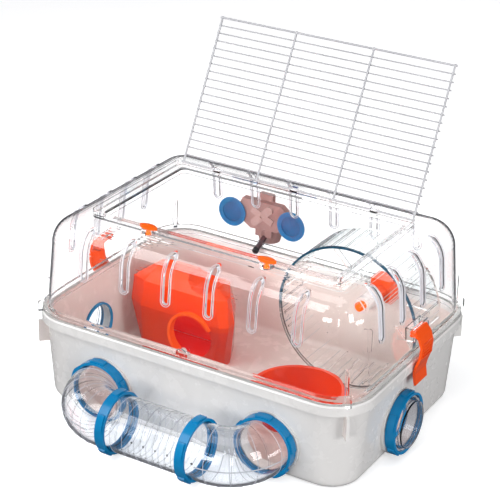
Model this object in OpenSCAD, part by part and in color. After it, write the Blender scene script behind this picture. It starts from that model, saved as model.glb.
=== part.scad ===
// Small-animal cage: an open white tub with a clear roof shell, a wire roof door,
// an exercise wheel, a hide house, a food dish, a bottle holder and a front tube run.
// Millimetres, +Z up, the floor of the tub stands on z = 0, the long front faces -Y.

/* [Tub] */
// Outside length over the rim
tub_l = 405; // [360:1:460]
// Outside width over the rim
tub_w = 290; // [260:1:330]
// Height of the rim above the floor it stands on
tub_h = 104; // [80:1:130]
// Wall thickness of the tub
tub_wall = 2.4; // [1.8:0.1:4]
// Thickness of the tub floor
floor_t = 3; // [2:0.5:5]

/* [Clear shell] */
// Height of the roof deck above the ground
deck_z = 213.5; // [190:0.5:240]
// Wall thickness of the clear shell
shell_wall = 2; // [1.6:0.1:3]
// Radius of the rounded shoulder between wall and roof
shoulder_r = 31; // [20:1:33]
// Width of the open part of each vent slot
vent_w = 6.6; // [4:0.2:9]
// Height of a vent slot on the long sides
vent_h = 50; // [30:1:54]
// How far the raised edge of a vent stands off the wall
vent_lip = 1.2; // [0.6:0.1:2]
// Spacing of the vents along the long sides
vent_pitch = 52; // [44:1:56]
// Spacing of the vents along the short sides
end_pitch = 47; // [40:1:52]

/* [Roof opening and wire door] */
// Length of the roof opening
open_l = 284; // [240:1:300]
// Width of the roof opening
open_w = 159; // [130:1:170]
// Diameter of the four cross wires and the two edge wires
bar_d = 2.4; // [1.6:0.1:3.2]
// Diameter of the fine long wires
wire_d = 1.6; // [1:0.1:2.2]
// Number of fine long wires
wire_n = 18; // [10:1:22]
// Angle the door stands open, measured from closed
door_open = 118; // [90:1:125]

/* [End latches and roof catches] */
// Width of an end latch
latch_w = 27; // [18:1:36]
// Length of a roof catch over its points
catch_l = 22; // [16:1:28]

/* [Exercise wheel] */
// Outside diameter of the wheel
wheel_d = 166; // [120:1:170]
// Depth of the running track
wheel_w = 60; // [40:1:64]
// Number of tread bars round the track
tread_n = 30; // [16:2:40]

/* [Tubes] */
// Inside diameter of ports and tubes
bore_d = 56; // [48:1:60]
// Wall thickness of the tubes
tube_wall = 2.6; // [2:0.1:3.2]
// Bend radius of the elbows on the centre line
bend_r = 40; // [38:1:46]
// Height of the port centres
port_z = 38; // [36:1:50]
// Distance of the front ports from the middle of the cage
port_x = 103; // [90:1:112]
// Sideways place of the two end ports
end_port_y = -25; // [-50:1:0]

/* [House, dish and bottle holder] */
// Height of the house
house_h = 102; // [95:1:125]
// Diameter of the house doorway
door_d = 54; // [40:1:60]
// Outside diameter of the food dish
dish_d = 108; // [80:1:110]
// Height of the food dish
dish_h = 34; // [18:1:36]
// Diameter of the two suction discs of the bottle holder
disc_d = 36; // [24:1:40]

/* [Hidden] */
$fn = 64;
eps = 0.02;
// running clearance on a radius, and the clearance where a curved face only passes another
run = 0.06;
pass = 0.4;

// tub: all corners turn about the same four centres
rim_r = 47;
cx = tub_l / 2 - rim_r;
cy = tub_w / 2 - rim_r;
foot_r = 35.6;
wall_r = 42;
foot_fillet = 9;
lip_drop = 11;
rib_h = 26;
rib_w = 3;
rib_out = 51.5;

// shell outline, as radii about the same corner centres
key_h = 38;
rims_from = 135;
low_r = 40;
low_z = 112;
high_r = 34;
shoulder_z = deck_z - shoulder_r;
shoulder_c = high_r - shoulder_r;
tongue_r = wall_r - tub_wall - pass;

// roof frame and door
open_y = -2.5;
frame_w = 10;
ledge_z = deck_z + 0.4;
frame_z = deck_z + 5;
frame_wall = 1.6;
hinge_y = open_y + open_w / 2 + 7.8;
hinge_z = deck_z + 1.9;
door_l = 171.5;
bar_r = bar_d / 2;
wire_r = wire_d / 2;
bar_x = 146.6;
wire_half = 149;
bar_tip = 1.8;
weld = 0.25;
clip_x = [-100, 0, 100];

// roof catches
catch_x = 72;
catch_y = -97;
catch_w = 9;
catch_t = 3.4;
stem_r = 3;
post_r = 8;

// end latches
pivot_x = tub_l / 2 - 2.7;
pivot_z = 136;
latch_pin_r = 1.6;
ear_t = 3;
latch_gap = 0.7;

// wheel
axle_x = 99;
axle_z = 106;
wheel_front = 34;
wheel_back = wheel_front + wheel_w;
wheel_r = wheel_d / 2;
track_t = 2;
axle_r = 3;
hub_r = 9;
hub_front = 69;

// tubes and rings
bore_r = bore_d / 2;
tube_r = bore_r + tube_wall;
pad_r = 36;
pad_y = cy + 41.2;
pad_x = cx + 41.2;
spigot_l = 6;
collar_r = 31.9;
collar_t = 3;
ring_r = 34;
lug_h = 1.8;
band_r = collar_r + pass;
ring_lip = 2.2;
neck_l = 1;
run_y = -(pad_y + spigot_l + collar_t + neck_l + bend_r);
joint_x = 49;
lug_n = 5;
end_x = port_x - bend_r;

// house
house_t = 2.2;
house_belt_z = 58;
house_brow_z = 88;
skirt_left = 16;
skirt_right = 52;
door_x = -88;
doorway_z = 37.5;
hood_r = door_d / 2 + 3.4;
hood_y = 8.5;

// dish
dish_x = 74;
dish_y = -24;
dish_t = 2.4;

// bottle holder
holder_x = -72;
holder_z = 145;
disc_dx = 40;
plate_y = 140.6;
plate_t = 9;
disc_r = disc_d / 2;
clip_l = 36;
clip_w = 9.5;
cup_y = 160;
cup_z = 107;
cup_h = 18;
spout_y = 153;
spout_z = 117.5;
spout_tilt = 24;
spout_l = 31;
spout_r = 3.2;
spout_ball = 4.6;

tub();
shell();
door();
latch_left();
latch_right();
catch_left();
catch_right();
wheel_drum();
wheel_rim();
wheel_hub();
wheel_cap();
wheel_bracket();
holder_bracket();
holder_clip();
holder_disc_left();
holder_disc_right();
holder_cup();
spout();
spout_tip();
house_roof();
house_hood();
house_skirt();
dish();
elbow_left();
elbow_right();
tube();
ring_port_left();
ring_port_right();
ring_tube_left();
ring_tube_right();
plug_left();
plug_right();
ring_end_left();
ring_end_right();

// ---------- shared shapes ----------

// points on an arc, from angle a0 to a1 in n steps
function arc_pts(c, r, a0, a1, n) =
    [for (i = [0:n]) c + r * [cos(a0 + (a1 - a0) * i / n), sin(a0 + (a1 - a0) * i / n)]];

// radius of the drafted shell wall at height z
function shell_r(z) = low_r - (z - low_z) * (low_r - high_r) / (shoulder_z - low_z);

// a rounded, drafted block: one half profile turned round the four corners
module block(profile, z0, z1) {
    for (q = [0:3]) {
        sx = q == 0 || q == 3 ? 1 : -1;
        sy = q < 2 ? 1 : -1;
        translate([sx * cx, sy * cy, 0]) rotate(90 * q) rotate_extrude(angle = 90) polygon(profile);
    }
    for (a = [0, 180]) {
        rotate(a) translate([cx, cy, 0]) rotate([90, 0, 0]) linear_extrude(2 * cy) polygon(profile);
        rotate(a + 90) translate([cy, cx, 0]) rotate([90, 0, 0]) linear_extrude(2 * cx) polygon(profile);
    }
    translate([-cx, -cy, z0]) cube([2 * cx, 2 * cy, z1 - z0]);
}

// a flat rounded rectangle centred on [x, y]
module slab(l, w, r, x, y, z0, z1) {
    translate([x, y, z0]) linear_extrude(z1 - z0) {
        square([l - 2 * r, w], center = true);
        square([l, w - 2 * r], center = true);
        for (sx = [-1, 1], sy = [-1, 1])
            translate([sx * (l / 2 - r), sy * (w / 2 - r)]) circle(r);
    }
}

// a cylinder lying along Y from y0 to y1
module along_y(r, x, z, y0, y1) {
    translate([x, y1, z]) rotate([90, 0, 0]) cylinder(r = r, h = y1 - y0);
}

// a cylinder lying along X from x0 to x1
module along_x(r, y, z, x0, x1) {
    translate([x0, y, z]) rotate([0, 90, 0]) cylinder(r = r, h = x1 - x0);
}

// an upright slot with round ends, cut along Y
module slot_y(w, h, x, z, y0, y1) {
    translate([x - w / 2, y0, z - h / 2 + w / 2]) cube([w, y1 - y0, h - w]);
    along_y(w / 2, x, z - h / 2 + w / 2, y0, y1);
    along_y(w / 2, x, z + h / 2 - w / 2, y0, y1);
}

// ---------- tub ----------

tub_outer = concat(
    [[0, 0]],
    arc_pts([foot_r - foot_fillet, foot_fillet], foot_fillet, -90, -4, 7),
    [
        [wall_r, tub_h - 5],
        [rim_r - 2.2, tub_h - 5],
        [rim_r - 2.2, tub_h - lip_drop],
        [rim_r, tub_h - lip_drop],
        [rim_r, tub_h - 1.5],
        [rim_r - 1.5, tub_h],
        [0, tub_h]
    ]);

tub_inner = concat(
    [[0, floor_t]],
    arc_pts([foot_r - tub_wall - 7, floor_t + 7], 7, -90, -4, 6),
    [
        [wall_r - tub_wall, tub_h - 5],
        [wall_r - tub_wall, tub_h + 2],
        [0, tub_h + 2]
    ]);

module port_pads() {
    for (sx = [-1, 1]) {
        along_y(pad_r, sx * port_x, port_z, -pad_y, -cy - 20);
        along_y(tube_r, sx * port_x, port_z, -pad_y - spigot_l, -cy - 20);
    }
    for (a = [0, 180]) {
        y = a == 0 ? end_port_y : -end_port_y;
        rotate(a) along_x(pad_r, y, port_z, cx + 20, pad_x);
        rotate(a) along_x(tube_r, y, port_z, cx + 20, pad_x + spigot_l);
    }
}

module port_bores() {
    for (sx = [-1, 1])
        along_y(bore_r, sx * port_x, port_z, -pad_y - spigot_l - 1, -cy - 20);
    for (a = [0, 180]) {
        y = a == 0 ? end_port_y : -end_port_y;
        rotate(a) along_x(bore_r, y, port_z, cx + 20, pad_x + spigot_l + 1);
    }
}

module tub() color("whitesmoke") difference() {
    union() {
        block(tub_outer, 0, tub_h);
        port_pads();
        for (q = [0:3]) {
            sx = q == 0 || q == 3 ? 1 : -1;
            sy = q < 2 ? 1 : -1;
            translate([sx * cx, sy * cy, tub_h - lip_drop - rib_h]) rotate(90 * q + 45) {
                translate([wall_r - 4, -rib_w / 2, 0]) cube([rib_out - wall_r + 4, rib_w, rib_h + eps]);
                translate([wall_r - 3, -rib_w / 2, 0]) cube([rim_r - wall_r + 2, rib_w, rib_h + 3]);
            }
        }
    }
    block(tub_inner, floor_t, tub_h + 2);
    port_bores();
}

// ---------- clear shell ----------

shell_outer = concat(
    [
        [0, tub_h - 4],
        [tongue_r, tub_h - 4],
        [tongue_r, tub_h],
        [rim_r - 1.6, tub_h],
        [rim_r - 1, tub_h + 0.6],
        [rim_r - 1, tub_h + 4.8],
        [rim_r - 1.6, tub_h + 5.4],
        [low_r + 1.6, tub_h + 5.8],
        [low_r, low_z]
    ],
    arc_pts([shoulder_c, shoulder_z], shoulder_r, 0, 90, 12),
    [[0, deck_z]]);

shell_inner = concat(
    [
        [0, tub_h - 5],
        [tongue_r - 2, tub_h - 5],
        [tongue_r - 2, tub_h + 5],
        [low_r - shell_wall, low_z]
    ],
    arc_pts([shoulder_c, shoulder_z], shoulder_r - shell_wall, 0, 90, 12),
    [[0, deck_z - shell_wall]]);

rim_shape = concat(
    [
        [0, rims_from],
        [shell_r(rims_from) + vent_lip, rims_from]
    ],
    arc_pts([shoulder_c, shoulder_z], shoulder_r + vent_lip, 0, 84, 11),
    [[0, shoulder_z + shoulder_r]]);

module vents(grow) {
    w = vent_w + 2 * grow;
    z_long = shoulder_z + 1;
    z_end = shoulder_z - 2;
    for (s = [-1, 1]) {
        for (i = [-2.5:1:2.5])
            rotate(s > 0 ? 180 : 0) slot_y(w, vent_h + 2 * grow, i * vent_pitch, z_long, -cy - 55, -cy - 9);
        for (i = [-1.5:1:1.5])
            rotate(90 * s) slot_y(w, vent_h + 6 + 2 * grow, s * i * end_pitch, z_end, -cx - 55, -cx - 7);
    }
}

module roof_frame() {
    outer_l = open_l + 2 * frame_w;
    outer_w = open_w + 2 * frame_w - 3;
    inner_l = outer_l - 2 * frame_wall;
    inner_w = outer_w - 2 * frame_wall;
    difference() {
        union() {
            slab(outer_l, outer_w, 9, 0, open_y - 0.5, deck_z - 4, ledge_z);
            difference() {
                slab(outer_l, outer_w, 9, 0, open_y - 0.5, deck_z - 3, frame_z);
                slab(inner_l, inner_w, 3, 0, open_y - 0.5, ledge_z, frame_z + 1);
                translate([-outer_l, hinge_y - 5, ledge_z]) cube([2 * outer_l, 20, 20]);
            }
        }
        difference() {
            slab(outer_l - 7, outer_w - 7, 6, 0, open_y - 0.5, ledge_z - 1.4, ledge_z + 1);
            slab(open_l + 4, open_w + 4, 6, 0, open_y, ledge_z - 3, ledge_z + 2);
        }
    }
    difference() {
        slab(open_l + 3, open_w + 3, 7, 0, open_y, deck_z - 8, deck_z - 1);
        slab(open_l, open_w, 6, 0, open_y, deck_z - 9, deck_z);
    }
}

module hinge_clips() {
    for (x = clip_x) translate([x - 4, hinge_y - 3.4, ledge_z - 1]) cube([8, 6.6, 5.4]);
}

module catch_posts() {
    for (sx = [-1, 1]) intersection() {
        translate([sx * catch_x, catch_y, deck_z - 1]) cylinder(r = post_r, h = frame_z - deck_z + 1);
        translate([sx * catch_x - 12, catch_y - 12, deck_z - 2]) cube([24, 17.6, 12]);
    }
}

// two ears and a small hood that carry an end latch
module latch_box() {
    half = latch_w / 2 + latch_gap;
    root_x = cx + 34;
    for (y = [-half - ear_t, half])
        translate([root_x, y, pivot_z - 7]) cube([pivot_x + 4 - root_x, ear_t, 13]);
    translate([root_x, -half - ear_t, pivot_z + 6]) cube([pivot_x + 2 - root_x, 2 * half + 2 * ear_t, 2]);
}

module corner_keys() {
    for (q = [0:3]) {
        sx = q == 0 || q == 3 ? 1 : -1;
        sy = q < 2 ? 1 : -1;
        translate([sx * cx, sy * cy, tub_h + 0.6]) rotate(90 * q + 45) {
            translate([low_r - 3, -rib_w / 2, 0]) cube([6.4, rib_w, key_h]);
            translate([low_r, -2.5, 0]) cube([rib_out - low_r, 5, 8]);
            translate([rib_out - 4, 2.5, 8]) rotate([90, 0, 0]) cylinder(r = 4, h = 5);
        }
    }
}

module front_stud() {
    translate([-7, -tub_w / 2 + 2, tub_h + 3]) cube([14, 8, 7]);
    along_y(4, 0, tub_h + 9, -tub_w / 2 + 1, -tub_w / 2 + 9);
}

module shell() color("lightcyan", 0.4) difference() {
    union() {
        difference() {
            union() {
                block(shell_outer, tub_h - 4, deck_z);
                intersection() {
                    block(rim_shape, rims_from, shoulder_z + shoulder_r);
                    vents(2.8);
                }
                for (a = [0, 180]) rotate(a) latch_box();
                corner_keys();
                front_stud();
            }
            block(shell_inner, tub_h - 5, deck_z - shell_wall);
            vents(0);
        }
        roof_frame();
        hinge_clips();
        catch_posts();
    }
    slab(open_l, open_w, 6, 0, open_y, deck_z - 12, deck_z + 12);
    along_x(bar_r + run, hinge_y, hinge_z, -110, 110);
    spout_line(4.4, 2, spout_l);
    for (sx = [-1, 1]) {
        translate([sx * catch_x, catch_y, deck_z - 1.5]) cylinder(r = stem_r + run, h = 12);
        along_y(latch_pin_r + run, sx * pivot_x, pivot_z, -30, 30);
    }
}

// ---------- wire door ----------

// drawn closed, then swung open about the hinge wire
module door() color("white") translate([0, hinge_y, hinge_z]) rotate([-door_open, 0, 0]) {
    rise = bar_r + wire_r - weld;
    step = door_l / (wire_n + 1);
    along_x(bar_r, 0, 0, -wire_half, wire_half);
    along_x(bar_r, -door_l, 0, -wire_half, wire_half);
    for (i = [-1.5:1:1.5])
        along_y(bar_r, i * bar_x / 1.5, 0, -door_l - bar_tip, 0);
    for (k = [1:wire_n])
        along_x(wire_r, -k * step, rise, -wire_half, wire_half);
}

// ---------- end latches ----------

latch_strap = [
    [pivot_x - 2.6, pivot_z + 3],
    [pivot_x + 3, pivot_z + 4],
    [pivot_x + 9, pivot_z - 3],
    [pivot_x + 12.4, pivot_z - 14],
    [pivot_x + 11.4, pivot_z - 27],
    [pivot_x + 7.6, pivot_z - 38],
    [pivot_x + 6, pivot_z - 46],
    [pivot_x + 7.8, pivot_z - 58],
    [pivot_x + 5.6, pivot_z - 59],
    [pivot_x + 3.5, pivot_z - 48],
    [pivot_x + 3.5, pivot_z - 42],
    [pivot_x + 5.2, pivot_z - 36],
    [pivot_x + 8.8, pivot_z - 26],
    [pivot_x + 9.8, pivot_z - 14],
    [pivot_x + 6.8, pivot_z - 5],
    [pivot_x + 2.6, pivot_z - 2.6],
    [pivot_x - 1.4, pivot_z - 3]
];

module latch() {
    translate([0, latch_w / 2, 0]) rotate([90, 0, 0]) linear_extrude(latch_w) polygon(latch_strap);
    along_y(latch_pin_r, pivot_x, pivot_z, -latch_w / 2 - ear_t, latch_w / 2 + ear_t);
    for (i = [-2:2])
        translate([pivot_x + 10.4, -latch_w / 2 + 3, pivot_z - 19 + 3.6 * i]) cube([2.4, latch_w - 6, 1.4]);
}

module latch_right() color("orangered") latch();

module latch_left() color("orangered") rotate(180) latch();

// ---------- roof catches ----------

module roof_catch() {
    bow = (catch_l * catch_l / 4 + catch_w * catch_w / 4) / catch_w;
    translate([0, 0, frame_z + 0.5]) linear_extrude(catch_t) intersection() {
        translate([0, bow - catch_w / 2]) circle(bow);
        translate([0, catch_w / 2 - bow]) circle(bow);
    }
    translate([-catch_l / 2 + 4, -0.7, frame_z + catch_t]) cube([catch_l - 8, 1.4, 1.3]);
    translate([0, 0, deck_z - 1]) cylinder(r = stem_r, h = frame_z - deck_z + 2);
}

module catch_left() color("orange") translate([-catch_x, catch_y, 0]) roof_catch();

module catch_right() color("orange") translate([catch_x, catch_y, 0]) roof_catch();

// ---------- exercise wheel ----------

module wheel_drum() color("lightcyan", 0.4)
translate([axle_x, wheel_front + wheel_w, axle_z]) rotate([90, 0, 0]) {
    difference() {
        cylinder(r = wheel_r, h = wheel_w, $fn = 96);
        translate([0, 0, track_t]) cylinder(r = wheel_r - track_t, h = wheel_w, $fn = 96);
        translate([0, 0, -1]) cylinder(r = hub_r + eps, h = wheel_w);
        for (a = [0:45:315]) rotate(a) {
            translate([wheel_r - 40, -3, -1]) cube([24, 6, 4]);
            translate([wheel_r - 40, 0, -1]) cylinder(r = 3, h = 4);
            translate([wheel_r - 16, 0, -1]) cylinder(r = 3, h = 4);
        }
    }
    for (k = [0:tread_n - 1]) rotate(360 / tread_n * k)
        translate([wheel_r - track_t - 1.4, -0.8, track_t]) cube([1.8, 1.6, wheel_w - track_t - 3]);
}

module wheel_rim() color("teal") difference() {
    along_y(wheel_r + 0.7, axle_x, axle_z, wheel_front - 2.4, wheel_front);
    along_y(wheel_r - 1.7, axle_x, axle_z, wheel_front - 3, wheel_front + 1);
}

module wheel_hub() color("lightcyan", 0.5) difference() {
    union() {
        along_y(hub_r, axle_x, axle_z, hub_front, wheel_back);
        along_y(hub_r + 5, axle_x, axle_z, wheel_back - track_t - 2, wheel_back - track_t);
        along_y(6, axle_x, axle_z, wheel_back, wheel_back + 2);
    }
    along_y(axle_r + run, axle_x, axle_z, hub_front + 3, wheel_back + 3);
}

module wheel_cap() color("orange") {
    along_y(5.6, axle_x, axle_z, hub_front - 3, hub_front);
    along_y(4.2, axle_x, axle_z, hub_front - 4.2, hub_front - 3);
}

// fixed axle and its block on the rear wall of the shell
module wheel_bracket() color("orangered") {
    along_y(axle_r, axle_x, axle_z, hub_front + 4, 101);
    along_y(7.4, axle_x, axle_z, 98, 114);
    intersection() {
        translate([axle_x - 12, 113, axle_z - 13]) cube([24, 34, 26]);
        rear_inside();
    }
}

// the rear inside face of the shell, drawn back by a hair
shell_inner_clear = [
    [0, tub_h - 12],
    [tongue_r - 2.4, tub_h - 12],
    [tongue_r - 2.4, low_z],
    [tongue_r - 2.4, low_z + 4],
    [high_r - shell_wall - 0.1, shoulder_z],
    [0, shoulder_z]
];

module rear_inside() {
    rotate(90) translate([cy, cx, 0]) rotate([90, 0, 0])
        linear_extrude(2 * cx) polygon(shell_inner_clear);
}

// ---------- bottle holder, outside the rear wall ----------

plate_outline = [
    [-46, -8], [-46, 4], [-34, 4], [-28, 17], [24, 17], [34, 9], [34, 4],
    [46, 4], [46, -8], [32, -8], [20, -17], [-16, -19], [-30, -10]
];

module holder_bracket() color("rosybrown") difference() {
    union() {
        translate([holder_x, plate_y + plate_t, holder_z]) rotate([90, 0, 0])
            linear_extrude(plate_t) polygon(plate_outline);
        translate([holder_x - 9, plate_y + plate_t - 2, holder_z + 10]) cube([18, 7, 15]);
        translate([holder_x - 11, plate_y + 3, cup_z + cup_h - 8]) cube([22, plate_t + 4, 16]);
    }
    along_y(3 + run, holder_x, holder_z, plate_y - 1, plate_y + 6);
    translate([holder_x, cup_y, cup_z - 1]) cylinder(r = 16.6, h = cup_h + 12);
}

// quarter-turn clip on the face of the bracket
module holder_clip() color("rosybrown") difference() {
    union() {
        translate([holder_x, plate_y - 0.3, holder_z]) rotate([90, 0, 0]) {
            linear_extrude(2.6) rotate(44) {
                square([clip_l - clip_w, clip_w], center = true);
                for (s = [-1, 1]) translate([s * (clip_l - clip_w) / 2, 0]) circle(clip_w / 2);
            }
            linear_extrude(1.4) rotate(-24) square([clip_l * 0.86, clip_w - 1], center = true);
        }
        along_y(3, holder_x, holder_z, plate_y - 1, plate_y + 5);
    }
    along_y(2, holder_x, holder_z, plate_y - 5, plate_y - 1.4);
}

module holder_disc(s) {
    x = holder_x + s * disc_dx;
    difference() {
        union() {
            along_y(disc_r, x, holder_z - 3, plate_y - 3.4, plate_y - 1.6);
            along_y(disc_r - 5, x, holder_z - 3, plate_y - 1.8, plate_y);
        }
        along_y(disc_r - 6, x, holder_z - 3, plate_y - 4, plate_y - 2.6);
    }
}

module holder_disc_left() color("dodgerblue") holder_disc(-1);

module holder_disc_right() color("dodgerblue") holder_disc(1);

// cup that takes the neck of a bottle
module holder_cup() color("rosybrown") difference() {
    translate([holder_x, cup_y, cup_z]) difference() {
        cylinder(r1 = 12.5, r2 = 16.5, h = cup_h);
        translate([0, 0, 2]) cylinder(r1 = 10.6, r2 = 14.4, h = cup_h);
    }
    spout_line(spout_r + 0.3, -5, spout_l);
    translate([holder_x, spout_y, spout_z]) sphere(r = spout_ball + 0.3);
}

// drinking spout, from the cup through the rear wall into the cage
module spout_line(r, from, to) {
    translate([holder_x, spout_y, spout_z]) rotate([90 + spout_tilt, 0, 0])
        translate([0, 0, from]) cylinder(r = r, h = to - from);
}

module spout() color("dimgray") {
    spout_line(spout_r, 0, spout_l - 4);
    translate([holder_x, spout_y, spout_z]) sphere(r = spout_ball);
}

module spout_tip() color("black") {
    spout_line(3.9, spout_l - 4, spout_l);
    spout_line(2.4, spout_l, spout_l + 1.4);
}

// ---------- house and dish ----------

// outline of the house at four heights, wider at the front than at the back
house_foot = [
    [-155, 14], [-58, 14], [-49.5, 20], [-50.5, 38],
    [-66, 72], [-150, 72], [-158, 60], [-158, 20]
];
house_belt = [
    [-157, 12], [-50, 12], [-42, 20], [-43, 34],
    [-66, 74], [-162, 74], [-177, 58], [-177, 22]
];
house_brow = [
    [-155, 17], [-60, 17], [-49, 27], [-52, 39],
    [-72, 70], [-157, 70], [-175, 54], [-175, 25]
];
house_top = [[-146, 30], [-90, 30], [-84, 36], [-90, 52], [-142, 52], [-150, 46]];

module level(z, outline, t) {
    translate([0, 0, z]) linear_extrude(0.1) offset(delta = -t) polygon(outline);
}

module house_solid(t) {
    hull() {
        level(t > 0 ? floor_t - 1 : floor_t, house_foot, t);
        level(house_belt_z, house_belt, t);
        level(house_brow_z, house_brow, t);
        level(floor_t + house_h - 0.1 - t, house_top, t);
    }
}

// space taken by the skirt: low to the left of the doorway, high to the right
module skirt_space(gap) {
    translate([-190, 0, 0]) cube([door_x + 190, 100, skirt_left - gap]);
    translate([door_x - 1, 0, 0]) cube([100, 100, skirt_right - gap]);
}

// rounded valley across the roof, from front to back
module valley(g) {
    translate([0, 100, 0]) rotate([90, 0, 0]) linear_extrude(100) polygon([
        [-107 - g, 120], [-101 - g, 99 - g / 2], [-93 - g / 2, 93 - g], [-82, 90 - g],
        [-72 + g / 2, 92 - g], [-64 + g, 99 - g / 2], [-56 + g, 120]
    ]);
}

module doorway(r) {
    along_y(r, door_x, doorway_z, 0, 34);
}

module house_roof() color("orangered") difference() {
    house_solid(0);
    difference() {
        house_solid(house_t);
        valley(house_t);
    }
    valley(0);
    doorway(hood_r + 0.05);
    skirt_space(0);
}

// lip that stands proud over the doorway
module house_hood() color("darkorange") difference() {
    along_y(hood_r, door_x, doorway_z, hood_y, 18);
    doorway(door_d / 2);
    skirt_space(-0.1);
}

module house_skirt() color("tomato") intersection() {
    difference() {
        house_solid(0);
        house_solid(house_t);
        doorway(door_d / 2);
    }
    skirt_space(0.1);
}

module dish() color("orange") translate([dish_x, dish_y, floor_t]) rotate_extrude() polygon([
    [0, 0],
    [dish_d / 2 - 12, 0],
    [dish_d / 2 - 3, dish_h - 3],
    [dish_d / 2, dish_h - 2.4],
    [dish_d / 2, dish_h - 0.6],
    [dish_d / 2 - 0.6, dish_h],
    [dish_d / 2 - 5, dish_h],
    [dish_d / 2 - 14, dish_t + 3],
    [dish_d / 2 - 18, dish_t],
    [0, dish_t]
]);

// ---------- tubes, rings and plugs ----------

// elbow drawn at the origin: starts at the port face, runs toward -Y, turns to +X
module elbow() {
    start = -(pad_y + spigot_l);
    difference() {
        union() {
            along_y(collar_r, -port_x, port_z, start - collar_t, start);
            along_y(tube_r, -port_x, port_z, start - collar_t - neck_l, start);
            translate([-end_x, run_y + bend_r, port_z]) rotate(180) rotate_extrude(angle = 90)
                translate([bend_r, 0]) circle(tube_r);
            for (a = [22.5, 45, 67.5])
                translate([-end_x, run_y + bend_r, port_z]) rotate(180 + a) rotate_extrude(angle = 1.6)
                    translate([bend_r, 0]) circle(tube_r + 0.5);
            along_x(tube_r, run_y, port_z, -end_x, -joint_x);
            along_x(collar_r, run_y, port_z, -joint_x - collar_t, -joint_x);
        }
        along_y(bore_r, -port_x, port_z, start - collar_t - neck_l, start + 1);
        translate([-end_x, run_y + bend_r, port_z]) rotate(180) rotate_extrude(angle = 90)
            translate([bend_r, 0]) circle(bore_r);
        along_x(bore_r, run_y, port_z, -end_x, -joint_x + 1);
    }
}

module elbow_left() color("lightcyan", 0.4) elbow();

module elbow_right() color("lightcyan", 0.4) mirror([1, 0, 0]) elbow();

module tube() color("lightcyan", 0.4) difference() {
    union() {
        along_x(tube_r, run_y, port_z, -joint_x, joint_x);
        for (x = [-joint_x, joint_x - collar_t])
            along_x(collar_r, run_y, port_z, x, x + collar_t);
        for (i = [-2:2])
            along_x(tube_r + 0.5, run_y, port_z, 15 * i - 0.7, 15 * i + 0.7);
    }
    along_x(bore_r, run_y, port_z, -joint_x - 1, joint_x + 1);
    for (i = [-2.5:1:2.5], a = [-1, 1])
        translate([15 * i, run_y, port_z]) rotate([18 * a, 0, 0])
            translate([0, 0, -tube_r - 2]) cylinder(r = 1, h = 8);
}

// ring drawn along +Z from its inner end; lips tells how many ends turn inward
module ring(len, lips) {
    difference() {
        union() {
            cylinder(r = ring_r, h = len);
            for (k = [0:lug_n - 1]) rotate(360 / lug_n * k) intersection() {
                difference() {
                    cylinder(r = ring_r + lug_h, h = len);
                    translate([0, 0, -1]) cylinder(r = ring_r - 0.5, h = len + 2);
                }
                translate([0, -9, 1.6]) cube([50, 18, len - 3.2]);
            }
        }
        translate([0, 0, lips > 1 ? ring_lip : -1])
            cylinder(r = band_r, h = len - ring_lip + (lips > 1 ? -ring_lip : 1));
        translate([0, 0, -1]) cylinder(r = tube_r + pass, h = len + 2);
    }
}

port_len = spigot_l + collar_t + 0.3 + ring_lip - 0.5;
joint_len = 2 * collar_t + 0.6 + 2 * ring_lip;

module ring_port(s) {
    translate([s * port_x, -pad_y - 0.5, port_z]) rotate([90, 0, 0]) rotate(20) ring(port_len, 1);
}

module ring_joint(s) {
    translate([s * joint_x - joint_len / 2, run_y, port_z]) rotate([0, 90, 0]) rotate(30) ring(joint_len, 2);
}

module ring_port_left() color("deepskyblue") ring_port(-1);

module ring_port_right() color("deepskyblue") ring_port(1);

module ring_tube_left() color("deepskyblue") ring_joint(-1);

module ring_tube_right() color("deepskyblue") ring_joint(1);

// drawn along +Z from the port face: a barrel inside the bore, a collar and a cup outside
module plug() {
    difference() {
        union() {
            translate([0, 0, -spigot_l - 4]) cylinder(r = bore_r - pass, h = spigot_l + 5);
            cylinder(r = collar_r, h = collar_t);
            cylinder(r = tube_r - 2, h = collar_t + 3.4);
            cylinder(r = tube_r - 4.4, h = collar_t + 7);
        }
        translate([0, 0, -spigot_l - 5]) cylinder(r = bore_r - pass - 2.2, h = spigot_l + collar_t + 9.8);
        translate([0, 0, -spigot_l - 5]) cylinder(r = bore_r - pass - 2.2, h = spigot_l + 6);
    }
}

// turns a part drawn along +Z to stand on the left (-1) or right (1) end port
module at_end(s, x) {
    translate([s * x, end_port_y, port_z]) rotate([0, 90 * s, 0]) children();
}

module plug_left() color("lightcyan", 0.4) at_end(-1, pad_x + spigot_l) plug();

module plug_right() color("lightcyan", 0.4) at_end(1, pad_x + spigot_l) plug();

module ring_end_left() color("deepskyblue") at_end(-1, pad_x + 0.5) rotate(30) ring(port_len, 1);

module ring_end_right() color("deepskyblue") at_end(1, pad_x + 0.5) rotate(30) ring(port_len, 1);
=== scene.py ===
import math
import bmesh
import bpy
from mathutils import Matrix, Vector


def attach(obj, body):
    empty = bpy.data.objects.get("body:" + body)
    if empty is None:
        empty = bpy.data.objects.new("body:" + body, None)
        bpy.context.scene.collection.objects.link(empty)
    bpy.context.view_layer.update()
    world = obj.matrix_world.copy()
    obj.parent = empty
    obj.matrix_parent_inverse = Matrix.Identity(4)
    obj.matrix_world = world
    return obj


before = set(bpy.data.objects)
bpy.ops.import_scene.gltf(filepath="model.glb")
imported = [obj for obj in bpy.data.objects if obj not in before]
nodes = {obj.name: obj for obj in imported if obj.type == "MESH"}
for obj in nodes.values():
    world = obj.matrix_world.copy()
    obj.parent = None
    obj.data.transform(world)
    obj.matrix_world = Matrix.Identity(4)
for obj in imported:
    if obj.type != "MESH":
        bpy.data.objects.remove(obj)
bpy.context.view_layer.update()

scene = bpy.context.scene
scene.view_settings.view_transform = "Standard"


# ---------- camera ----------

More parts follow.
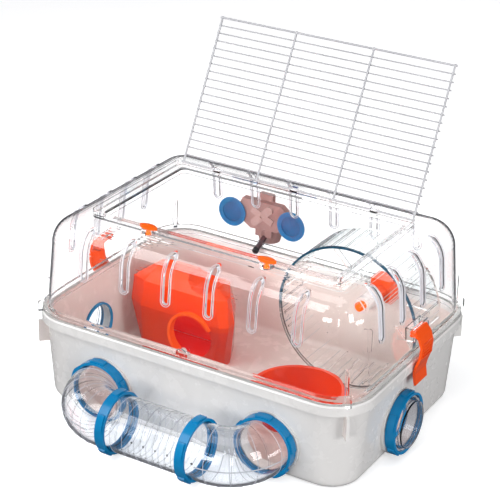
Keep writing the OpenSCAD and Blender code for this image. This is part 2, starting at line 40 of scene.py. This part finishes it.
# fitted to the photo: direction, distance and focal length
AZ, EL, ROLL = math.radians(30.5), math.radians(25.26), math.radians(1.44)
CAMERA_AT = (0.83826, -1.43191, 0.95752)
FOCAL_PX, PHOTO_PX, SENSOR_MM = 1695.15, 500, 36
back = Vector((math.sin(AZ) * math.cos(EL), -math.cos(AZ) * math.cos(EL), math.sin(EL)))
right = Vector((math.cos(AZ), math.sin(AZ), 0))
up = back.cross(right)
cam_x = math.cos(ROLL) * right + math.sin(ROLL) * up
cam_y = -math.sin(ROLL) * right + math.cos(ROLL) * up
cam_data = bpy.data.cameras.new("camera")
cam_data.sensor_width = SENSOR_MM
cam_data.lens = FOCAL_PX * SENSOR_MM / PHOTO_PX
cam_data.clip_start, cam_data.clip_end = 0.05, 30
camera = bpy.data.objects.new("camera", cam_data)
scene.collection.objects.link(camera)
pose = Matrix((cam_x, cam_y, back)).transposed().to_4x4()
pose.translation = Vector(CAMERA_AT)
camera.matrix_world = pose
scene.camera = camera


# ---------- places on the part, in metres ----------

CX, CY = 0.1555, 0.098                  # corner centres of the cover
SHOULDER_Z, SHOULDER_R = 0.1825, 0.031  # rounded edge between its walls and roof
HIGH_R, LOW_R, LOW_Z = 0.034, 0.040, 0.112  # corner radius at the shoulder, and at LOW_Z
SHELL_WALL, VENT_W = 0.002, 0.0066      # thickness of the cover, width of a vent
WHEEL_X, WHEEL_Z = 0.099, 0.106         # the axle
DISC_MID_X, DISC_REACH, DISC_Z = -0.072, 0.040, 0.142  # between the suction discs, and out to each
HOUSE_CENTRE = (-0.105, 0.045, 0.045)
PORT_X, PORT_Z, END_PORT_Y = 0.103, 0.038, -0.025  # axes of the front ports and the end ports
COLLAR_X = 0.1893                       # where the end collars begin
RUN_Y, TUBE_R, BEND_R = -0.1892, 0.0306, 0.040  # axis and outer radius of the tube, radius of its bend


# ---------- node helpers ----------

class Tree:
    """The node tree of a material or a world, with short calls for the nodes used here."""

    def __init__(self, owner, output="OutputMaterial"):
        owner.use_nodes = True
        self.owner = owner
        self.nt = owner.node_tree
        self.nt.nodes.clear()
        self.out = self.new(output)
        self.coords = self.new("TexCoord").outputs["Object"]

    def new(self, kind):
        return self.nt.nodes.new("ShaderNode" + kind)

    def put(self, socket, value):
        if isinstance(value, bpy.types.NodeSocket):
            self.nt.links.new(value, socket)
        else:
            socket.default_value = value

    def split(self, vector):
        """The X, Y and Z of a vector."""
        parts = self.new("SeparateXYZ")
        self.put(parts.inputs["Vector"], vector)
        return [parts.outputs[k] for k in "XYZ"]

    def face_normal(self):
        return self.split(self.new("NewGeometry").outputs["True Normal"])

    def noise(self, scale, detail):
        mapping = self.new("Mapping")
        self.put(mapping.inputs["Vector"], self.coords)
        n = self.new("TexNoise")
        n.inputs["Scale"].default_value = scale
        n.inputs["Detail"].default_value = detail
        self.put(n.inputs["Vector"], mapping.outputs["Vector"])
        return n.outputs["Fac"]

    def remap(self, value, low, high, start=0.3, end=0.7):
        """Takes start..end to low..high, and holds it there beyond."""
        m = self.new("MapRange")
        self.put(m.inputs["Value"], value)
        for key, number in (("From Min", start), ("From Max", end), ("To Min", low), ("To Max", high)):
            m.inputs[key].default_value = number
        return m.outputs["Result"]

    def ramp(self, value, *stops):
        r = self.new("ValToRGB")
        els = r.color_ramp.elements
        while len(els) < len(stops):
            els.new(0.5)
        for e, (at, colour) in zip(els, stops):
            e.position = at
            e.color = (*colour, 1)
        self.put(r.inputs["Fac"], value)
        return r.outputs["Color"]

    def math(self, op, a, b=0.0):
        m = self.new("Math")
        m.operation = op
        self.put(m.inputs[0], a)
        self.put(m.inputs[1], b)
        return m.outputs[0]

    def colour_mix(self, share, a, b):
        mix = self.new("Mix")
        mix.data_type = "RGBA"
        for key, value in (("Factor", share), ("A", a), ("B", b)):
            self.put(mix.inputs[key], value)
        return mix.outputs["Result"]

    def shader_mix(self, share, a, b):
        mix = self.new("MixShader")
        self.put(mix.inputs["Fac"], share)
        self.put(mix.inputs[1], a)
        self.put(mix.inputs[2], b)
        return mix.outputs["Shader"]

    def bump(self, height, strength, distance):
        b = self.new("Bump")
        b.inputs["Strength"].default_value = strength
        b.inputs["Distance"].default_value = distance
        self.put(b.inputs["Height"], height)
        return b.outputs["Normal"]

    def peel(self, distance=0.00012):
        """The orange peel of a moulded surface."""
        return self.bump(self.noise(420, 2), 0.25, distance)

    def shader(self, **values):
        p = self.new("BsdfPrincipled")
        for key, value in values.items():
            self.put(p.inputs[key.replace("_", " ")], value)
        return p.outputs["BSDF"]

    def lamps_pass(self, body, colour):
        """body, which lets lamp light through in that colour."""
        through = self.new("BsdfTransparent")
        through.inputs["Color"].default_value = (*colour, 1)
        return self.shader_mix(self.new("LightPath").outputs["Is Shadow Ray"], body, through.outputs["BSDF"])

    def bounced(self):
        """1 for a ray that has bounced off something, and half of that once it has passed more than
        two faces."""
        path = self.new("LightPath")
        count = self.math("ADD", path.outputs["Glossy Depth"], path.outputs["Diffuse Depth"])
        few_walls = self.remap(path.outputs["Transmission Depth"], 1.0, 0.5, 2.0, 3.0)
        return self.math("MULTIPLY", self.math("MINIMUM", count, 1.0), few_walls)

    def finish(self, surface):
        self.put(self.out.inputs["Surface"], surface)
        return self.owner


def material_tree(name):
    return Tree(bpy.data.materials.new(name))


# ---------- materials ----------

RED_LIGHT = (0.86, 0.27, 0.17)          # lamp light that has passed a red wall
PAINTED_HOUSE_GLOW = (0.80, 0.004, 0.006)       # painted glow: red emission on the faces that look into the house


def moulded(name, low, high, rough=0.2, peel=0.00012, coat=0.15, spec=0.4, glow=None):
    """Moulded plastic: faint flow clouding, orange peel and uneven gloss. glow is the colour of the
    lamp light that a translucent wall lets through."""
    t = material_tree(name)
    body = t.shader(
        Base_Color=t.ramp(t.noise(14, 4), (0.3, low), (0.7, high)),
        Roughness=t.remap(t.noise(60, 5), rough * 0.8, rough * 1.35), Normal=t.peel(peel),
        Coat_Weight=coat, Coat_Roughness=0.06, Specular_IOR_Level=spec)
    return t.finish(t.lamps_pass(body, glow) if glow else body)


def tub_plastic(name):
    """White plastic. Inside, a painted peach tint stands in for the bounce light of the house and dish; a
    painted lit strip under the back rim keeps the plain white."""
    t = material_tree(name)
    x, y, z = t.split(t.coords)
    nx, ny, nz = t.face_normal()
    outward = t.math("ADD", t.math("MULTIPLY", x, nx), t.math("MULTIPLY", y, ny))
    wall = t.remap(outward, 0.0, 1.0, -0.02, -0.05)
    ground = t.math("MULTIPLY", t.remap(nz, 0.0, 1.0, 0.6, 0.8), t.remap(z, 0.0, 1.0, 0.03, 0.02))
    # painted light: a strip under the back rim, where the back wall catches the lamps, keeps the plain white
    painted_lit_strip = t.math("MULTIPLY", t.remap(z, 0.0, 1.0, 0.0925, 0.0935), t.remap(y, 0.0, 1.0, 0.10, 0.12))
    inside = t.math("MULTIPLY", t.math("MAXIMUM", wall, ground), t.math("SUBTRACT", 1.0, painted_lit_strip))
    cloud = t.noise(14, 4)
    plain = t.ramp(cloud, (0.3, (0.66, 0.645, 0.63)), (0.7, (0.71, 0.695, 0.68)))
    # painted bounce light: a peach tint on the inside faces, standing in for light bounced off the house and
    # dish
    painted_bounce_tint = t.ramp(cloud, (0.3, (0.65, 0.545, 0.505)), (0.7, (0.70, 0.60, 0.555)))
    return t.finish(t.shader(
        Base_Color=t.colour_mix(inside, plain, painted_bounce_tint), Roughness=t.remap(t.noise(60, 5), 0.19, 0.32),
        Normal=t.peel(), Coat_Weight=0.2, Coat_Roughness=0.06, Specular_IOR_Level=0.4))


def house_plastic(name, low, high, shade):
    """Translucent house plastic, with painted shade: the sides are darker than the top by face direction,
    and the faces that look into the house have a painted red glow.
    """
    t = material_tree(name)
    place = t.split(t.coords)
    nx, ny, nz = normal = t.face_normal()
    shares = [t.math("MULTIPLY", t.math("SUBTRACT", a, c), n)
              for a, c, n in zip(place, HOUSE_CENTRE, normal)]
    outward = t.math("ADD", t.math("ADD", shares[2], shares[0]), shares[1])
    # painted glow mask: the faces that look into the house, which emit a painted red glow
    painted_glow_mask = t.remap(outward, 0.0, 1.0, 0.0, -0.004)
    # painted shade: faces turned down, to the left or to the back take the shade colour, faces turned up
    # take the lit colour
    painted_shade_tilt = t.math("SUBTRACT", t.math("ADD", nz, t.math("MULTIPLY", nx, 0.6)), t.math("MULTIPLY", ny, 0.25))
    lit = t.ramp(t.noise(14, 4), (0.3, low), (0.7, high))
    body = t.shader(
        Base_Color=t.colour_mix(t.remap(painted_shade_tilt, 0.0, 1.0, -0.7, 0.9), (*shade, 1), lit),
        Roughness=t.remap(t.noise(60, 5), 0.11, 0.19), Normal=t.peel(), Specular_IOR_Level=0.2,
        Emission_Color=(*PAINTED_HOUSE_GLOW, 1), Emission_Strength=t.math("MULTIPLY", painted_glow_mask, 0.25))
    return t.finish(t.lamps_pass(body, RED_LIGHT))


def clear(name, ior, tint=(0.99, 0.992, 0.996), edge=(0.56, 0.56, 0.62), wave=0.0004, coat=0.0):
    """Clear moulded plastic, greyer where a wall is seen along its length. Lamps pass it, as they
    do a thin wall."""
    t = material_tree(name)
    height = t.math("ADD", t.noise(16, 2), t.math("MULTIPLY", t.noise(140, 2), 0.06))
    facing = t.new("LayerWeight")
    facing.inputs["Blend"].default_value = 0.5
    near_edge = tuple(c * 0.985 for c in tint)
    body = t.shader(
        Base_Color=t.ramp(facing.outputs["Facing"], (0.0, tint), (0.72, near_edge), (1.0, edge)),
        Roughness=t.remap(t.noise(35, 4), 0.006, 0.018), Normal=t.bump(height, 0.3, wave), IOR=ior,
        Transmission_Weight=1.0, Coat_Weight=coat, Coat_Roughness=0.04)
    return t.finish(t.lamps_pass(body, [c * 0.99 for c in tint]))


def disc_paint(name):
    """Blue soft plastic with painted shade: a darker ring round the edge of the recess of each suction disc,
    where the recess wall would cast its shadow, and a slightly darker recess; lighter at the disc's outer
    edge.
    """
    t = material_tree(name)
    x, _, z = t.split(t.coords)
    along = t.math("SUBTRACT", t.math("ABSOLUTE", t.math("SUBTRACT", x, DISC_MID_X)), DISC_REACH)
    height = t.math("SUBTRACT", z, DISC_Z)
    squares = t.math("ADD", t.math("MULTIPLY", along, along), t.math("MULTIPLY", height, height))
    away = t.math("SQRT", squares)
    away = t.math("ADD", t.math("MULTIPLY", away, 50.0), t.math("MULTIPLY", t.noise(90, 2), 0.03))
    face, painted_shade_blue = (0.004, 0.130, 0.30), (0.001, 0.070, 0.18)
    # dark at the centre; painted shade: the darker recess and the shadow ring at its edge; lighter towards
    # the outer edge
    colour = t.ramp(
        away, (0.0, painted_shade_blue), (0.05, (0.003, 0.105, 0.25)), (0.56, (0.002, 0.100, 0.24)), (0.60, painted_shade_blue),
        (0.66, face), (0.84, face), (0.90, (0.006, 0.18, 0.38)))
    return t.finish(t.shader(
        Base_Color=colour, Roughness=t.remap(t.noise(60, 5), 0.24, 0.4), Normal=t.peel(),
        Specular_IOR_Level=0.2))


def rim_paint(name, colour, start, end):
    """Paint on the wheel's rim that fades to clear round its lower part."""
    t = material_tree(name)
    x, _, z = t.split(t.coords)
    beside = t.math("MULTIPLY", t.math("SUBTRACT", x, WHEEL_X), 0.35)
    lean = t.math("ADD", beside, t.math("SUBTRACT", z, WHEEL_Z))
    light = tuple(c * 1.25 for c in colour)
    painted = t.shader(
        Base_Color=t.ramp(t.noise(40, 3), (0.3, colour), (0.7, light)),
        Roughness=t.remap(t.noise(80, 3), 0.15, 0.3), Coat_Weight=0.3, Coat_Roughness=0.05)
    plain = t.shader(
        Base_Color=t.ramp(t.noise(20, 2), (0.3, (0.90, 0.96, 0.97)), (0.7, (0.95, 0.98, 0.99))),
        Roughness=t.remap(t.noise(30, 3), 0.01, 0.03), IOR=1.2, Transmission_Weight=1.0)
    return t.finish(t.shader_mix(t.remap(lean, 0.0, 1.0, start, end), plain, painted))


white = tub_plastic("tub_white")
glassy = clear("clear_shell", 1.17, coat=0.7)
drum_clear = clear("clear_drum", 1.16, tint=(0.975, 0.992, 0.992), edge=(0.40, 0.55, 0.58))
tube_clear = clear("clear_tube", 1.42, tint=(0.90, 0.91, 0.925), edge=(0.24, 0.26, 0.32), wave=0.0012)
wire_white = moulded("wire_coat", (0.42, 0.42, 0.44), (0.52, 0.52, 0.54), rough=0.3, peel=0.0002)
orange_red = moulded("orange_red", (0.80, 0.065, 0.004), (0.88, 0.09, 0.006), rough=0.17, coat=0.05,
                     spec=0.3)
orange = moulded("orange", (0.86, 0.12, 0.005), (0.92, 0.16, 0.008), coat=0.05, spec=0.3)
# the last colour of each house plastic is its painted shade
house_red = house_plastic("house_orange", (0.74, 0.044, 0.003), (0.82, 0.062, 0.004), (0.42, 0.006, 0.002))
skirt_red = house_plastic("skirt_orange", (0.62, 0.032, 0.010), (0.70, 0.045, 0.014), (0.44, 0.010, 0.003))
hood_orange = moulded("hood_orange", (0.90, 0.085, 0.003), (0.94, 0.115, 0.005), coat=0.0, spec=0.25)
blue = moulded("ring_blue", (0.001, 0.16, 0.36), (0.002, 0.20, 0.44), rough=0.18, coat=0.05, spec=0.25)
hub_frost = moulded("hub_frost", (0.60, 0.52, 0.50), (0.70, 0.62, 0.60), rough=0.25)
teal = rim_paint("rim_teal", (0.001, 0.045, 0.085), -0.045, -0.015)
dish_red = moulded("dish_orange", (0.68, 0.030, 0.001), (0.76, 0.045, 0.002), coat=0.0, spec=0.2,
                   glow=RED_LIGHT)
disc_blue = disc_paint("disc_blue")
clip_taupe = moulded("clip_taupe", (0.36, 0.24, 0.22), (0.43, 0.30, 0.28), rough=0.38, coat=0.0)
taupe = moulded("holder_taupe", (0.27, 0.165, 0.155), (0.34, 0.22, 0.205), rough=0.38, coat=0.0)
grey = moulded("spout_grey", (0.06, 0.035, 0.04), (0.09, 0.055, 0.06), rough=0.3)
black = moulded("tip_black", (0.012, 0.011, 0.012), (0.02, 0.018, 0.02), rough=0.5, coat=0.0)
frost = moulded("vent_frost", (0.60, 0.60, 0.64), (0.68, 0.68, 0.72), coat=0.2)
seam = moulded("tube_seam", (0.42, 0.43, 0.47), (0.52, 0.53, 0.57), coat=0.2)
rib_grey = moulded("rib_grey", (0.30, 0.33, 0.36), (0.38, 0.41, 0.44))
painted_refraction_teal = moulded("painted_refraction_teal", (0.003, 0.11, 0.17), (0.005, 0.15, 0.22))

PAINT = {
    "tub": white, "shell": glassy, "door": wire_white,
    "latch_left": orange_red, "latch_right": orange_red, "catch_left": orange, "catch_right": orange,
    "wheel_drum": drum_clear, "wheel_rim": teal, "wheel_hub": hub_frost, "wheel_cap": orange,
    "wheel_bracket": orange_red, "holder_bracket": taupe, "holder_clip": clip_taupe, "holder_cup": taupe,
    "holder_disc_left": disc_blue, "holder_disc_right": disc_blue, "spout": grey, "spout_tip": black,
    "house_roof": house_red, "house_hood": hood_orange, "house_skirt": skirt_red, "dish": dish_red,
    "elbow_left": tube_clear, "elbow_right": tube_clear, "tube": tube_clear,
    "plug_left": tube_clear, "plug_right": tube_clear,
    "ring_port_left": blue, "ring_port_right": blue, "ring_tube_left": blue, "ring_tube_right": blue,
    "ring_end_left": blue, "ring_end_right": blue,
}
for name, material in PAINT.items():
    slots = nodes[name].data.materials
    if len(slots) == 0:
        slots.append(material)
    for i in range(len(slots)):
        slots[i] = material


# ---------- pale edges round the vents ----------

def wall_out(z, lip):
    """How far the outer face of the cover stands out from its corner centres at height z."""
    if z <= SHOULDER_Z:
        return LOW_R - (z - LOW_Z) * (LOW_R - HIGH_R) / (SHOULDER_Z - LOW_Z) + lip
    reach = SHOULDER_R + lip
    rise = min(z - SHOULDER_Z, reach * 0.98)
    return HIGH_R - SHOULDER_R + math.sqrt(reach * reach - rise * rise)


def stadium(w, h, x, z, steps=10):
    """Points round an upright slot with round ends."""
    r = w / 2
    pts = []
    for k in range(steps + 1):
        a = math.pi * k / steps
        pts.append((x + r * math.cos(a), z + h / 2 - r + r * math.sin(a)))
    for k in range(1, 8):
        pts.append((x - r, z + h / 2 - r - (h - 2 * r) * k / 8))
    for k in range(steps + 1):
        a = math.pi + math.pi * k / steps
        pts.append((x + r * math.cos(a), z - h / 2 + r + r * math.sin(a)))
    for k in range(1, 8):
        pts.append((x + r, z - h / 2 + r + (h - 2 * r) * k / 8))
    return pts


def loop_tube(bm, path, radius, sides=6):
    """A closed thin tube along a loop of points. Each ring joins the next by the shortest match."""
    n = len(path)
    rings = []
    for i, p in enumerate(path):
        ahead = (path[(i + 1) % n] - path[i - 1]).normalized()
        side = ahead.cross(Vector((0, 0, 1)) if abs(ahead.z) < 0.9 else Vector((1, 0.3, 0))).normalized()
        other = ahead.cross(side)
        turns = [2 * math.pi * k / sides for k in range(sides)]
        rings.append([bm.verts.new(p + radius * (math.cos(t) * side + math.sin(t) * other)) for t in turns])
    for i in range(n):
        a, b = rings[i], rings[(i + 1) % n]
        options = [(sum((a[k].co - b[(d * k + s) % sides].co).length for k in range(sides)), s, d)
                   for s in range(sides) for d in (1, -1)]
        _, shift, turn = min(options)
        for k in range(sides):
            bm.faces.new((a[k], a[(k + 1) % sides],
                          b[(turn * (k + 1) + shift) % sides], b[(turn * k + shift) % sides]))


def mesh_piece(name, bm, material, body):
    """Turns a bmesh into a smooth piece that rides on a body."""
    bmesh.ops.recalc_face_normals(bm, faces=bm.faces)
    mesh = bpy.data.meshes.new(name)
    bm.to_mesh(mesh)
    bm.free()
    for polygon in mesh.polygons:
        polygon.use_smooth = True
    mesh.materials.append(material)
    obj = bpy.data.objects.new(name, mesh)
    scene.collection.objects.link(obj)
    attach(obj, body)
    return obj


def vent_edges(name, quarter, pitch, count, height, centre_z, reach):
    """Two pale loops round each vent of one wall, and its frosted edge. quarter turns the front
    wall to its place."""
    bm = bmesh.new()
    turn = Matrix.Rotation(math.radians(90 * quarter), 3, "Z")
    for i in range(count):
        x = (i - (count - 1) / 2) * pitch
        for grow, lip, radius in ((0.0004, 0.0011, 0.00035), (0.0024, 0.0011, 0.00040)):
            pts = stadium(VENT_W + 2 * grow, height + 2 * grow, x, centre_z)
            loop_tube(bm, [turn @ Vector((px, -reach - wall_out(pz, lip), pz)) for px, pz in pts], radius)
        pts = stadium(VENT_W - 0.0001, height - 0.0001, x, centre_z)
        rings = [[bm.verts.new(turn @ Vector((px, -reach - wall_out(pz, lip), pz))) for px, pz in pts]
                 for lip in (-0.0001, -0.0001 - SHELL_WALL)]
        for k in range(len(pts)):
            j = (k + 1) % len(pts)
            bm.faces.new((rings[0][k], rings[0][j], rings[1][j], rings[1][k]))
    mesh_piece(name, bm, frost, "cover")


LONG_WALL = {"pitch": 0.052, "count": 6, "height": 0.050, "centre_z": 0.1835, "reach": CY}
END_WALL = {"pitch": 0.047, "count": 4, "height": 0.056, "centre_z": 0.1805, "reach": CX}
vent_edges("vent_edges_front", 0, **LONG_WALL)
vent_edges("vent_edges_back", 2, **LONG_WALL)
vent_edges("vent_edges_right", 1, **END_WALL)
vent_edges("vent_edges_left", 3, **END_WALL)


# ---------- blue collars inside the end ports ----------

def collar(name, side, body):
    """The turned-in edge of an end ring, seen from inside the tub: a thin lipped ring in the bore."""
    bm = bmesh.new()
    profile = [(0.0255, 0.0), (0.0270, 0.0), (0.02755, 0.0008), (0.02755, 0.0034), (0.0262, 0.0034),
               (0.0255, 0.0026)]  # radius and place along the bore
    steps = 64
    rings = []
    for k in range(steps):
        c, s = math.cos(2 * math.pi * k / steps), math.sin(2 * math.pi * k / steps)
        rings.append([bm.verts.new((side * (COLLAR_X + x), END_PORT_Y + r * c, PORT_Z + r * s))
                      for r, x in profile])
    for k in range(steps):
        a, b = rings[k], rings[(k + 1) % steps]
        for i in range(len(profile)):
            bm.faces.new((a[i], a[(i + 1) % len(profile)], b[(i + 1) % len(profile)], b[i]))
    mesh_piece(name, bm, blue, body)


collar("port_collar_left", -1, "end_plug_left")
collar("port_collar_right", 1, "end_plug_right")


# ---------- floor of the house ----------

outline = [(-153, 18), (-60, 18), (-54, 23), (-54.5, 37), (-68.5, 67.5), (-148, 67.5), (-154.5, 59),
           (-154.5, 22)]  # inside the foot of the house, in millimetres
bm = bmesh.new()
low, high = ([bm.verts.new((x / 1000, y / 1000, z)) for x, y in outline] for z in (0.0031, 0.0039))
bm.faces.new(low[::-1])
bm.faces.new(high)
for k in range(len(outline)):
    j = (k + 1) % len(outline)
    bm.faces.new((low[k], low[j], high[j], high[k]))
mesh_piece("house_floor", bm, skirt_red, "house_base")


# ---------- lines on the wheel ----------

def drum_lines(name, angles, material, start, end, radius, thick):
    """Lines across the running surface of the wheel, at the given angles."""
    bm = bmesh.new()
    for a in angles:
        c, s = math.cos(math.radians(a)), math.sin(math.radians(a))
        steps = [Vector((WHEEL_X + radius * c, start + (end - start) * k / 6, WHEEL_Z + radius * s))
                 for k in range(7)]
        hop = Vector((c, 0, s)) * thick * 0.5
        loop_tube(bm, steps + [p + hop for p in steps[::-1]], thick)
    mesh_piece(name, bm, material, "wheel")


drum_lines("wheel_ribs", range(6, 366, 12), rib_grey,
           start=0.0365, end=0.0900, radius=0.0831, thick=0.00022)
# painted refraction: teal dashes that stand in for the treads seen refracted through the clear drum, not
# marks on it
drum_lines("wheel_painted_refraction", (152, 164, 176, 188, 200, 212, 284, 296, 308, 320), painted_refraction_teal,
           start=0.0370, end=0.0490, radius=0.0832, thick=0.00035)


# ---------- mould seams of the tubes ----------

def hoop(bm, centre, axis, across, radius, thick, steps=48):
    """A thin round line about an axis."""
    other = axis.cross(across)
    angles = [2 * math.pi * k / steps for k in range(steps)]
    loop_tube(bm, [centre + radius * (math.cos(a) * across + math.sin(a) * other) for a in angles], thick)


def elbow_seams(name, side):
    """Fan lines round the bend and the parting line along its outer side."""
    bm = bmesh.new()
    centre = Vector((side * (PORT_X - BEND_R), RUN_Y + BEND_R, PORT_Z))
    for a in (9, 33.75, 56.25, 80):
        out = Vector((side * math.cos(math.radians(a)), -math.sin(math.radians(a)), 0))
        tangent = Vector((out.y, -out.x, 0))
        hoop(bm, centre + BEND_R * out, tangent, Vector((0, 0, 1)), TUBE_R + 0.0001, 0.00035)
    path = [centre + (BEND_R + TUBE_R + 0.0001) * Vector((side * math.cos(a), -math.sin(a), 0))
            for a in [math.radians(2 + 86 * k / 24) for k in range(25)]]
    loop_tube(bm, path + [p + Vector((0, 0, 0.0007)) for p in path[::-1]], 0.00035)
    mesh_piece(name, bm, seam, "tube_run")


elbow_seams("elbow_seams_left", -1)
elbow_seams("elbow_seams_right", 1)

bm = bmesh.new()
for k in range(6):
    middle = Vector((-0.0375 + 0.015 * k, RUN_Y, PORT_Z))
    hoop(bm, middle, Vector((1, 0, 0)), Vector((0, 0, 1)), TUBE_R + 0.0001, 0.0003)
mesh_piece("tube_seams", bm, seam, "tube_run")


# ---------- floor, world and lights ----------

t = material_tree("studio_floor")
bounced = t.bounced()
grain = t.noise(3, 2)
bright = t.ramp(grain, (0.3, (0.90, 0.90, 0.90)), (0.7, (0.93, 0.93, 0.93)))
dim = t.ramp(grain, (0.3, (0.16, 0.16, 0.17)), (0.7, (0.18, 0.18, 0.19)))
day = t.shader(Base_Color=bright, Roughness=0.7, Specular_IOR_Level=0.1,
               Emission_Color=(1, 1, 1, 1), Emission_Strength=t.remap(bounced, 0.45, 0.0, 0.0, 1.0))
dusk = t.shader(Base_Color=dim, Roughness=0.7, Specular_IOR_Level=0.1)
floor_paint = t.finish(t.shader_mix(bounced, day, dusk))
floor_mesh = bpy.data.meshes.new("floor")
bm = bmesh.new()
bmesh.ops.create_grid(bm, x_segments=1, y_segments=1, size=6)
bm.to_mesh(floor_mesh)
bm.free()
floor = bpy.data.objects.new("floor", floor_mesh)
floor.location = (0, 0, -0.0002)
floor_mesh.materials.append(floor_paint)
scene.collection.objects.link(floor)

world = bpy.data.worlds.new("studio")
scene.world = world
t = Tree(world, "OutputWorld")
height = t.split(t.new("TexCoord").outputs["Generated"])[2]
sky, low_sky = t.new("Background"), t.new("Background")
t.put(sky.inputs["Color"], t.ramp(height, (0.0, (0.9, 0.9, 0.9)), (0.04, (0.50, 0.50, 0.53)),
                                  (0.30, (0.66, 0.67, 0.69)), (0.75, (0.95, 0.95, 0.95))))
sky.inputs["Strength"].default_value = 0.75
low_sky.inputs["Color"].default_value = (0.9, 0.92, 1.0, 1)
low_sky.inputs["Strength"].default_value = 0.16
t.finish(t.shader_mix(t.bounced(), sky.outputs["Background"], low_sky.outputs["Background"]))


def softbox(name, at, toward, size_x, size_y, power):
    """A rectangular soft light that faces a point."""
    data = bpy.data.lights.new(name, "AREA")
    data.shape = "RECTANGLE"
    data.size, data.size_y = size_x, size_y
    data.energy = power
    lamp = bpy.data.objects.new(name, data)
    lamp.location = at
    lamp.rotation_mode = "QUATERNION"
    lamp.rotation_quaternion = (Vector(toward) - Vector(at)).to_track_quat("-Z", "Y")
    scene.collection.objects.link(lamp)


softbox("top_box", (0.0, -0.15, 1.9), (0, 0, 0.1), 1.5, 1.1, 9)
softbox("front_box", (-0.80, -1.05, 1.30), (0, -0.05, 0.15), 1.0, 0.9, 13)
softbox("front_fill", (-0.1, -2.0, 0.55), (0, 0, 0.08), 1.0, 0.5, 19)
softbox("floor_panel", (0.74, 0.06, 0.004), (0.185, -0.11, 0.15), 0.34, 0.24, 2.0)
softbox("front_strip", (0.9, -1.3, 0.25), (0, 0, 0.15), 0.12, 0.9, 4)
softbox("right_box", (1.8, -0.5, 0.7), (0, 0, 0.1), 0.5, 1.0, 14)
softbox("left_box", (-1.7, -0.2, 0.9), (0, 0, 0.1), 0.4, 1.0, 6)
softbox("back_box", (-0.2, 1.8, 1.1), (0, 0, 0.1), 1.4, 0.6, 6)
